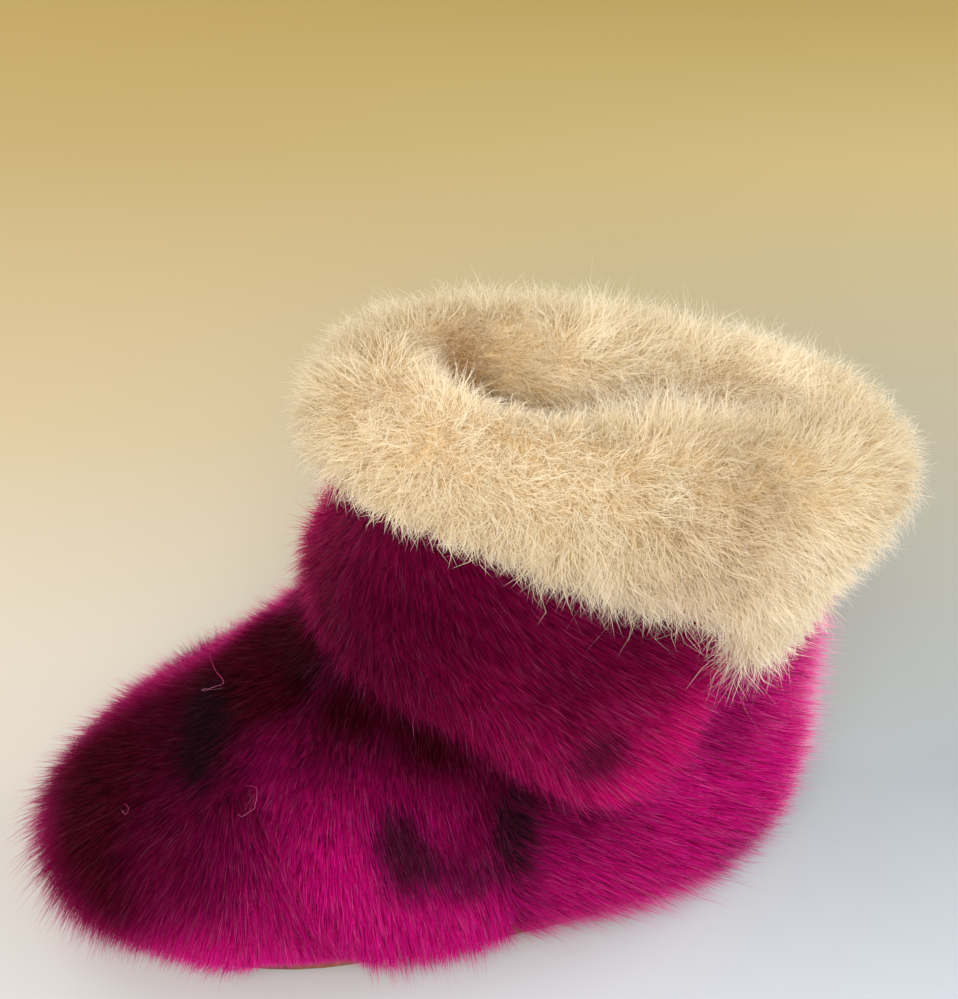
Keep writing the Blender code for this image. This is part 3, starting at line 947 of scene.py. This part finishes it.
# %% [markdown]
# The hair grows only where it can be seen: outside the upper's wall, and not under the cuff or
# the collar. A ray straight out from a root tells, because under the cuff it meets the cuff.

# %% Hairs of the dyed fur
HAIR = Coat(
    length=4.8, vary=0.2, limits=(0.5, 1.4), width=0.12, lift=56, lie=32, wobble=7, bends=2,
    stray=0.1,
)
SIDE_HAIR = HAIR._replace(length=4.6)
HEEL_HAIR = HAIR._replace(length=5.2)
HAIR_WIDTHS = (0.7, 1.2)
# Guard hairs are longer and thinner, and stand up more.
GUARD_SHARE = 0.16
GUARD_EXTRA = 1.35
GUARD_RISE = 1.25
GUARD_WIDTH = 0.6
# Hair lies flatter near the floor, between these heights.
LOW_RISE = 0.45
LOW_HEIGHTS = (2, 14)
DYE_NOISE = 0.32
# Any hair may get a pale tip, as a painted glint. Painted rim light behind the heel and along its
# lower edge, along the sole and where the skin turns from the camera, and the heel's paled smudge,
# add to how many are and how much. The heel's zones fade out where the skin faces the camera.
GLINT_SHARE = 0.1
GLINT_STRENGTH = (0.1, 0.5)
PALING_BY_RIM_AND_SMUDGE = 0.6
RIM_FACING = (-0.8, -0.3)
SPOT_HIDES_PALE_TIPS = 0.7
DEEP_KEEPS_PALE_TIPS = 0.4
SOLE_EDGE_LIGHT_TIPS = 0.4

# %% Where the dyed fur grows
UNDER_REACH = 14.0
over_upper = skin_tree(cuff_skin, collar_roll)


def seen_outside(points, normals):
    return ~faces_in(points, normals) & ~covered(points, normals, over_upper, UNDER_REACH)


def in_panel(number):
    def wanted(points, normals):
        shares = panel_shares(points, normals)
        return (np.argmax(np.stack(shares), axis=0) == number) & seen_outside(points, normals)

    return wanted


def cuff_outside(points, normals):
    return ~covered(points, normals, skin_tree(upper_skin, collar_roll), UNDER_REACH)


# %% Clipping over the sole
# In millimetres: from where to where the hair is clipped, how long it stays, from which height
# it is longer. It lies flat at the sole and stands up again between two more heights.
CLIP_BEGINS = (-43, -38)
CLIP_ENDS = (-24, -19)
CLIP_LENGTH = 2.5
CLIP_HEIGHT = 6
CLIP_GROWTH = 0.3
CLIP_RISE = 0.45
CLIP_RISE_HEIGHTS = (8, 20)


def clip_over_sole(roots, lengths, rise):
    """Hair low on the toe panel, just ahead of the toe seam, is clipped short and lies flat, so
    the sole's edge shows."""
    clipped = soft_step(roots[:, 1], *CLIP_BEGINS) * (1 - soft_step(roots[:, 1], *CLIP_ENDS))
    clipped = np.where(roots[:, 0] > 0, clipped, 0)
    room = CLIP_LENGTH + CLIP_GROWTH * np.maximum(roots[:, 2] - CLIP_HEIGHT, 0)
    flat = CLIP_RISE + (1 - CLIP_RISE) * soft_step(roots[:, 2], *CLIP_RISE_HEIGHTS)
    lengths = lengths * (1 - clipped) + np.minimum(lengths, room) * clipped
    return lengths, rise * (1 - clipped + flat * clipped)


# %% Grow the dyed fur
def pale_tips_of(roots, normals, on_cuff, dye_and_light, spot, rng):
    """Which hairs have pale tips, and how pale, from 0 to 1: painted glints and rim light, and the
    paled smudge on the heel.
    """
    rim_light_and_smudge = zone_sum(RIM_LIGHT_AND_SMUDGE_ZONES, roots, normals, on_cuff)
    rim_light_and_smudge *= soft_step(normals @ RIM_LIGHT_FACING, *RIM_FACING)
    rim_light_and_smudge += SOLE_EDGE_LIGHT_TIPS * along_sole(roots) + RIM_LIGHT_TIPS * turned_away(normals)
    pale_tipped = rng.random(len(roots)) < GLINT_SHARE + (1 - GLINT_SHARE) * rim_light_and_smudge
    frost_and_glint = rng.uniform(*GLINT_STRENGTH, len(roots)) + PALING_BY_RIM_AND_SMUDGE * rim_light_and_smudge.clip(0, 1)
    frost_and_glint = np.where(pale_tipped, frost_and_glint, 0).clip(0, 1) * (1 - SPOT_HIDES_PALE_TIPS * spot)
    return pale_tipped, frost_and_glint * (DEEP_KEEPS_PALE_TIPS + (1 - DEEP_KEEPS_PALE_TIPS) * dye_and_light)


def grow_dyed_fur(name, skin, coat, strands, wanted, combs_of, seed):
    rng, roots, normals, lengths = start_coat(skin, coat, strands, wanted, seed)
    count = len(roots)
    on_cuff = skin is cuff_skin
    lengths *= 1 + zone_sum(PILE_ZONES, roots, normals, on_cuff)
    lengths *= 1 + RIM_PILE * turned_away(normals)
    guard = rng.random(count) < GUARD_SHARE
    lengths = np.where(guard, lengths * GUARD_EXTRA, lengths)
    rise = LOW_RISE + (1 - LOW_RISE) * soft_step(roots[:, 2], *LOW_HEIGHTS)
    lengths, rise = clip_over_sole(roots, lengths, rise * np.where(guard, GUARD_RISE, 1.0))
    lines = strand_lines(roots, normals, combs_of(roots, normals), lengths, coat, rng, rise)
    dye_and_light, spot = dye_and_light_marks(roots, normals, on_cuff, rng)
    dye_and_light = np.clip(dye_and_light * (1 + rng.normal(0, DYE_NOISE, count)), 0, 1)
    pale_tipped, frost_and_glint = pale_tips_of(roots, normals, on_cuff, dye_and_light, spot, rng)
    widths = coat.width * rng.uniform(*HAIR_WIDTHS, count)
    widths *= np.where(guard | pale_tipped, GUARD_WIDTH, 1.0)
    marks = {"dye_and_light": dye_and_light, "spot": spot, "frost_and_glint": frost_and_glint}
    hair = cuff_hair if on_cuff else dyed_hair
    made = ribbon_object(name, lines, normals, widths, marks, rng, hair, DYED_TILT)


grow_dyed_fur("fur_toe", upper_skin, HAIR, 58000, in_panel(0), combs_of_upper, 11)
grow_dyed_fur("fur_side", upper_skin, SIDE_HAIR, 25000, in_panel(1), combs_of_upper, 12)
grow_dyed_fur("fur_heel", upper_skin, HEEL_HAIR, 47000, in_panel(2), combs_of_upper, 13)
grow_dyed_fur("fur_cuff", cuff_skin, HAIR, 42000, cuff_outside, combs_of_cuff, 14)

# %% [markdown]
# ## The shearling collar
#
# Shearling is sheepskin with the wool left on, here natural cream. The staple is longer than the
# dyed hair, softly curly and never combed straight. It stands out from the roll, droops over its
# outer side as a ragged fringe and nearly closes the opening. Thinner tips grow between.


# %% Wool material
WOOL_STOPS = ((0.0, "E0CA9E"), (0.35, "EDDFBE"), (0.7, "F4EDD6"), (1.0, "FCF8EC"))
TAN_STOPS = ((0.0, "7A5228"), (0.35, "B48848"), (0.7, "D6B07C"), (1.0, "EACDA4"))


def wool_material(name, glow_share):
    """Shearling: dull, scaly fibres with air between them, so light passes from tuft to tuft. Tone
    is a fibre's brightness, partly painted light and shade, and the brightest fibres are chalky. Tan
    is partly a fibre's own colour, at random, and partly painted shade in hollows and inside the
    mouth."""
    material, add = new_material(name)
    along, tone, tan = (
        add("Attribute", attribute_name=mark).outputs["Fac"] for mark in ("along", "tone", "tan")
    )
    bleached = add("ValToRGB", {"Fac": along}, WOOL_STOPS)
    tan_and_shade = add("ValToRGB", {"Fac": along}, TAN_STOPS)
    mixed = add("Mix", {0: tan, 6: bleached, 7: tan_and_shade}, data_type="RGBA").outputs[2]
    bright = {"Value": tone, "From Min": 1.0, "From Max": 1.25, "To Min": 1.0, "To Max": 0.55}
    chalky = add("MapRange", bright)
    varied = add("HueSaturation", {"Value": tone, "Saturation": chalky, "Color": mixed})
    finish = {
        "Base Color": varied,
        "Roughness": 0.6,
        "IOR": HAIR_IOR,
        "Specular IOR Level": 0.3,
        "Sheen Weight": 0.2,
        "Sheen Roughness": 0.5,
        "Sheen Tint": linear("FFF3DC"),
    }
    shader = add("BsdfPrincipled", finish)
    glow = add("BsdfTranslucent", {"Color": varied})
    add("OutputMaterial", {"Surface": add("MixShader", {0: glow_share, 1: shader, 2: glow})})
    return material


wool = wool_material("cream_shearling_wool", 0.58)
print("wool:", wool.name)

# %% [markdown]
# The skin between the fibres must not look bare. It is covered with felted wool, which a fine
# noise colours and a bump roughens. Sole leather has a nap of its own and is made the same way,
# so one function makes both.

# %% Felted and napped grounds
# In millimetres: one tuft of wool, and how far it stands up.
FELT_TUFT = 0.8
FELT_RELIEF = 0.4


def napped_ground(add, pattern, stops, nap, strength, relief, roughness):
    """A rough ground: its colour follows a pattern, and its bumps, in mm, follow the nap."""
    colour = add("ValToRGB", {"Fac": pattern}, stops)
    lumps = add("Bump", {"Height": nap, "Strength": strength, "Distance": relief * MM})
    finish = {"Base Color": colour, "Normal": lumps, "Roughness": roughness}
    add("OutputMaterial", {"Surface": add("BsdfPrincipled", finish)})


def felted_wool_material(name, base, fleck):
    """Felted wool close to the skin, flecked tuft by tuft."""
    material, add = new_material(name)
    place = add("TexCoord").outputs["Object"]
    tufts = add("TexNoise", {"Vector": place, "Scale": 1.0 / (FELT_TUFT * MM), "Detail": 4.0})
    napped_ground(add, tufts, ((0.35, base), (0.65, fleck)), tufts, 0.6, FELT_RELIEF, 0.95)
    return material


collar_roll.data.materials.clear()
collar_roll.data.materials.append(felted_wool_material("felted_wool_roots", "CAB084", "E8D6AE"))

# %% Staple, tips and tufts
STAPLE = Coat(
    length=6.6, vary=0.3, limits=(0.4, 1.6), width=0.14, lift=60, lie=28, wobble=18, bends=2,
    stray=1.1, curl=0.7, clump=3.0, pull=0.32,
)
TIPS = Coat(
    length=7.4, vary=0.25, limits=(0.4, 1.6), width=0.075, lift=56, lie=20, wobble=20, bends=3,
    stray=1.4, curl=1.5, clump=4.0, pull=0.25,
)
WOOL_WIDTHS = (0.7, 1.25)
WOOL_TONE = 0.98
WOOL_TONE_NOISE = 0.04
WOOL_TONES = (0.6, 1.25)
TAN_NOISE = 0.1
Tuft = namedtuple("Tuft", "name centre reach longer paler tanner flat", defaults=(0, 0))

# Places in millimetres, as the zones of dye and light, and changes as shares. A flat tuft lies down.
# The paler and tanner columns also paint light and shade: the crest by the opening is painted paler
# where it is lit, the hollow behind it and the slit's front end darker and tanner as shade, and the
# inner wall's front paler against its own shade.
WOOL_TUFTS = (
    Tuft("crest by the opening", (12, 40, 111), 12, 0.5, 0.14),
    Tuft("hollow behind the crest", (26, 48, 103), 8, -0.3, -0.1, 0.15),
    Tuft("hanging tuft", (26, 47, 64), 11, 0.9, 0.2, 0, 0.5),
    Tuft("fringe, rear side", (31, 34, 74), 10, 0.6, 0.16, 0, 0.5),
    Tuft("inner wall, front", (-10, 25, 102), 8, 0, 0.2, -0.3),
    Tuft("fringe, front", (16, -17, 94), 12, -0.45, 0.12),
    Tuft("fringe, front corner", (26, -8, 96), 8, -0.4, 0.04),
    Tuft("fringe, side front", (31, 7, 90), 8, 0.9, 0.06, 0, 0.5),
    Tuft("fringe, side", (34, 24, 80), 14, 0.7, 0.14, 0, 0.4),
    Tuft("rear roll, outer side", (32, 57, 86), 16, 0, 0.13),
    Tuft("front roll's top", (12, -8, 116), 16, 0.1, 0.12),
    Tuft("rear roll, inner side", (-8, 62, 104), 22, 0, 0.08),
    Tuft("front roll, middle", (24, 14, 108), 16, 0, 0.1),
    Tuft("slit's front end", (-7, 4, 110), 8, -0.3, 0, 0.9),
    Tuft("side roll's warmth", (32, 38, 92), 12, 0, 0.05, 0.35),
)
# A tuft tanner than this is painted shade inside the opening, which only the wool inside takes.
INSIDE_SHADE = 0.5

# %% Comb the wool
collar_points, _, _ = mesh_arrays(collar_roll.data)
collar_middle = (collar_points.min(axis=0) + collar_points.max(axis=0)) / 2
# In millimetres: the ends of the opening's long middle line.
OPENING_Y = (8.0, 55.0)
# The crest is where the roll faces up. Its wool lies flatter, and leans astray the most.
CREST_WIDTH = 0.5
CREST_FLATNESS = 0.35
CREST_STRAY = 2
# On the inner side of the first the wool points in, on the outer side of the second it hangs.
TURNS_OUT = (-0.3, 0.4)
LOCK_WIDTH = 5.0
LOCK_STRAY = 0.4


def from_opening(points):
    """The level direction away from the opening's long middle line."""
    away = points.copy()
    away[:, 1] -= np.clip(points[:, 1], *OPENING_Y)
    away[:, 2] = 0
    return unit(away)


def combs_of_collar(points, normals):
    away = from_opening(points)
    outer = soft_step((normals * away).sum(axis=1), *TURNS_OUT)
    hanging = np.array((0.0, 0.25, -1.0))
    inner = np.array((0.0, 0.6, 0.3))
    return outer[:, None] * (hanging + 0.5 * away) + (1 - outer[:, None]) * inner


def tuft_jitter(points, spacing, spread, rng):
    """One random direction for each patch of wool this wide, so whole tufts lean astray."""
    cells = np.floor(points / spacing + rng.random(3)).astype(int)
    _, patch = np.unique(cells, axis=0, return_inverse=True)
    return rng.normal(0, spread, (patch.max() + 1, 3))[patch.ravel()]


# %% Grow the wool where it shows
# Wool needs this much room, in mm. It grows inwards where it faces the opening's middle line.
WOOL_ROOM = 2.0
INWARD = -0.2
# Shares of the staple's length: in the narrow slit, added across the wide rear, lost under the
# hem. In millimetres: where the slit opens, where the painted shade in it fades, and the mouth's
# depth.
SLIT_WOOL = 0.6
REAR_WOOL = 0.9
HEM_RUBBED = 0.6
SLIT_OPENS = (14, 30)
SLIT_SHADE_FADES = (8, 24)
MOUTH_DEPTH = (88, 106)
beside_collar = skin_tree(upper_skin, cuff_skin)


def wool_shows(front):
    def wanted(points, normals):
        half = (points[:, 1] < collar_middle[1]) == front
        return half & ~covered(points, normals, beside_collar, WOOL_ROOM)

    return wanted


def wool_reach(roots, normals, inward, hanging):
    """Wool inside the mouth is short at the slit in front and meets across the rear. It is short
    under the hem too, where the roll rubs on the cuff, except in the tufts that hang."""
    rear = soft_step(roots[:, 1], *SLIT_OPENS)
    under = soft_step(-normals[:, 2], 0.0, 0.6) * (1 - hanging)
    return np.where(inward, SLIT_WOOL + REAR_WOOL * rear, 1 - HEM_RUBBED * under)


def deep_inside(roots):
    """How deep inside the mouth a root lies, where the wool is painted tan and dark as shade. The
    rear is shaded less.
    """
    deep = 1 - soft_step(roots[:, 2], *MOUTH_DEPTH)
    return deep * (1 - 0.9 * soft_step(roots[:, 1], *SLIT_SHADE_FADES))


def grow_wool(name, coat, strands, front, seed):
    shows = wool_shows(front)
    rng, roots, normals, lengths = start_coat(collar_roll, coat, strands, shows, seed)
    count = len(roots)
    outward = (normals * from_opening(roots)).sum(axis=1)
    inward = outward < INWARD
    tone = WOOL_TONE + rng.normal(0, WOOL_TONE_NOISE, count)
    tan = np.where(inward, deep_inside(roots), 0.0) + TAN_NOISE * rng.random(count)
    flat = np.zeros(count)
    for tuft in WOOL_TUFTS:
        near = soft_ball(np.linalg.norm(roots - tuft.centre, axis=1) / tuft.reach)
        lengths *= 1 + tuft.longer * near
        tone += tuft.paler * near
        tan += tuft.tanner * near * (1 if tuft.tanner < INSIDE_SHADE else inward)
        flat += tuft.flat * near
    lengths *= wool_reach(roots, normals, inward, np.clip(2 * flat, 0, 1))
    crest = soft_ball(outward / CREST_WIDTH)
    jitter = tuft_jitter(roots, LOCK_WIDTH, LOCK_STRAY, rng) * (1 + CREST_STRAY * crest[:, None])
    combs = unit(combs_of_collar(roots, normals)) + jitter
    rise = (1 - CREST_FLATNESS * crest) * (1 - flat)
    lines = strand_lines(roots, normals, combs, lengths, coat, rng, rise)
    lines = pull_clumps(lines, coat, rng)
    widths = coat.width * rng.uniform(*WOOL_WIDTHS, count)
    marks = {"tone": tone.clip(*WOOL_TONES), "tan": tan.clip(0, 1)}
    made = ribbon_object(name, lines, normals, widths, marks, rng, wool, WOOL_TILT)


grow_wool("wool_staple_front", STAPLE, 50000, True, 21)
grow_wool("wool_staple_back", STAPLE, 50000, False, 22)
grow_wool("wool_tips_front", TIPS, 8500, True, 23)
grow_wool("wool_tips_back", TIPS, 8500, False, 24)

# %% [markdown]
# ## Lining, sole and insole
#
# Inside, the boot is lined with clipped fleece, and an insole of the same fleece lies on the
# sole. The upper's skin keeps one mesh, and the faces of its inner wall take the lining. The sole
# is soft split leather with its suede side out. Sole and insole keep the frame's own solids.


# %% Sole leather and fleece
# In millimetres: the nap's fibres, how far they stand up, and the patches where it has rubbed.
NAP_SIZE = 0.6
NAP_RELIEF = 0.2
WEAR_SIZE = 22


def split_leather_material():
    """Split cowhide: a fine fibrous nap, tan, darker where it has rubbed."""
    material, add = new_material("tan_split_leather")
    place = add("TexCoord").outputs["Object"]
    nap, wear = (
        add("TexNoise", {"Vector": place, "Scale": 1.0 / (size * MM), "Detail": detail})
        for size, detail in ((NAP_SIZE, 5.0), (WEAR_SIZE, 2.0))
    )
    rim_light_and_smudge = add("Math", {0: nap, 1: wear}, operation="MULTIPLY")
    napped_ground(add, rim_light_and_smudge, ((0.12, "4A2C1A"), (0.45, "94603C")), nap, 0.5, NAP_RELIEF, 0.8)
    return material


def clothe_node(node_name, material):
    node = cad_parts[node_name]
    if not node.material_slots:
        node.data.materials.append(material)
    for slot in node.material_slots:
        slot.material = material


fleece_ground = felted_wool_material("clipped_fleece_ground", "8A6A44", "C4A478")
clothe_node("sole", split_leather_material())
clothe_node("insole", fleece_ground)
print("sole and insole keep their solids, in", fleece_ground.name, "and split leather")

# %% Line the upper and grow the fleece
FLEECE = Coat(
    length=3.6, vary=0.25, limits=(0.4, 1.6), width=0.3, lift=62, lie=40, wobble=12, bends=2,
    stray=1.2, curl=0.4, clump=2.4, pull=0.3,
)
FLEECE_TONE = 0.95
FLEECE_TONE_NOISE = 0.08
FLEECE_TAN = 0.55
UPWARD = 0.6


def line_upper():
    """The faces of the upper's inner wall take the fleece instead of the dyed underfur."""
    mesh = upper_skin.data
    middles = read_rows(mesh.polygons, "center") / MM
    inside = faces_in(middles, read_rows(mesh.polygons, "normal"))
    mesh.materials.append(fleece_ground)
    mesh.polygons.foreach_set("material_index", inside.astype(np.int32))
    print("lining faces:", int(inside.sum()))


def upward(points, normals):
    return normals[:, 2] > UPWARD


def grow_fleece(name, skin, strands, wanted, seed):
    rng, roots, normals, lengths = start_coat(skin, FLEECE, strands, wanted, seed)
    count = len(roots)
    combs = rng.normal(0, 1, (count, 3))
    lines = pull_clumps(strand_lines(roots, normals, combs, lengths, FLEECE, rng), FLEECE, rng)
    tone = FLEECE_TONE + rng.normal(0, FLEECE_TONE_NOISE, count)
    marks = {"tone": tone, "tan": np.full(count, FLEECE_TAN)}
    widths = np.full(count, FLEECE.width)
    made = ribbon_object(name, lines, normals, widths, marks, rng, wool, WOOL_TILT)


line_upper()
grow_fleece("lining_fleece", upper_skin, 9000, faces_in, 31)
grow_fleece("insole_fleece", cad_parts["insole"], 5000, upward, 32)

# %% [markdown]
# ## Stray fibres
#
# New fur sheds. A few curly fibres, dyed with the rest, have come loose and lie on the toe's short
# hair. Each follows a few listed points, lifted off the skin and rounded by a spline.

# %% Stray fibres
StrayFibre = namedtuple("StrayFibre", "name points")

# In millimetres, on the upper's skin or just over it.
STRAY_FIBRES = (
    StrayFibre("vamp, upper end", ((-8, -35, 53), (-5, -36, 53), (-7, -38, 51), (-8, -41, 48))),
    StrayFibre(
        "vamp, lower end", ((-8, -41, 48), (0, -40, 51), (3, -39, 51), (1, -43, 48), (4, -39, 51))
    ),
    StrayFibre("hook, by the seam", ((20, -38, 43), (21, -36, 43), (23, -37, 41), (23, -40, 39))),
    StrayFibre("curl, on the toe", ((13, -60, 35), (14, -59, 34.5), (14, -59, 33), (13, -60, 33.5))),
)
FIBRE_OVER_SKIN = 4.2
FIBRE_WIDTH = 0.06
FIBRE_STEPS = 40
FIBRE_SHAKE = 0.03
FIBRE_FROST = 0.8


def smooth_path(points, steps):
    """A Catmull-Rom spline through the points, in even steps of its own share."""
    knots = np.vstack((2 * points[0] - points[1], points, 2 * points[-1] - points[-2]))
    places = np.linspace(0, len(points) - 1 - 1e-6, steps)
    first = places.astype(int)
    t = (places - first)[:, None]
    p0, p1, p2, p3 = (knots[first + i] for i in range(4))
    cubic = (3 * p1 - p0 - 3 * p2 + p3) * t**3
    return (2 * p1 + (p2 - p0) * t + (2 * p0 - 5 * p1 + 4 * p2 - p3) * t**2 + cubic) / 2


def lay_stray_fibres():
    rng = np.random.default_rng(41)
    lines, facing = [], []
    upper_only = skin_tree(upper_skin)
    for fibre in STRAY_FIBRES:
        path = smooth_path(np.array(fibre.points, float), FIBRE_STEPS)
        over = []
        for place in path:
            near, normal, _, _ = upper_only.find_nearest(place.tolist())
            over.append(np.array(near) + np.array(normal) * FIBRE_OVER_SKIN)
        lines.append(np.array(over) + rng.normal(0, FIBRE_SHAKE, (FIBRE_STEPS, 3)))
        facing.append(np.array(normal))
    count = len(lines)
    lines, facing = np.array(lines), np.array(facing)
    frost_and_glint = np.full(count, FIBRE_FROST)
    marks = {"dye_and_light": np.ones(count), "spot": np.zeros(count), "frost_and_glint": frost_and_glint}
    widths = np.full(count, FIBRE_WIDTH)
    name = "stray_fibres"
    made = ribbon_object(name, lines, facing, widths, marks, rng, dyed_hair, DYED_TILT)


lay_stray_fibres()
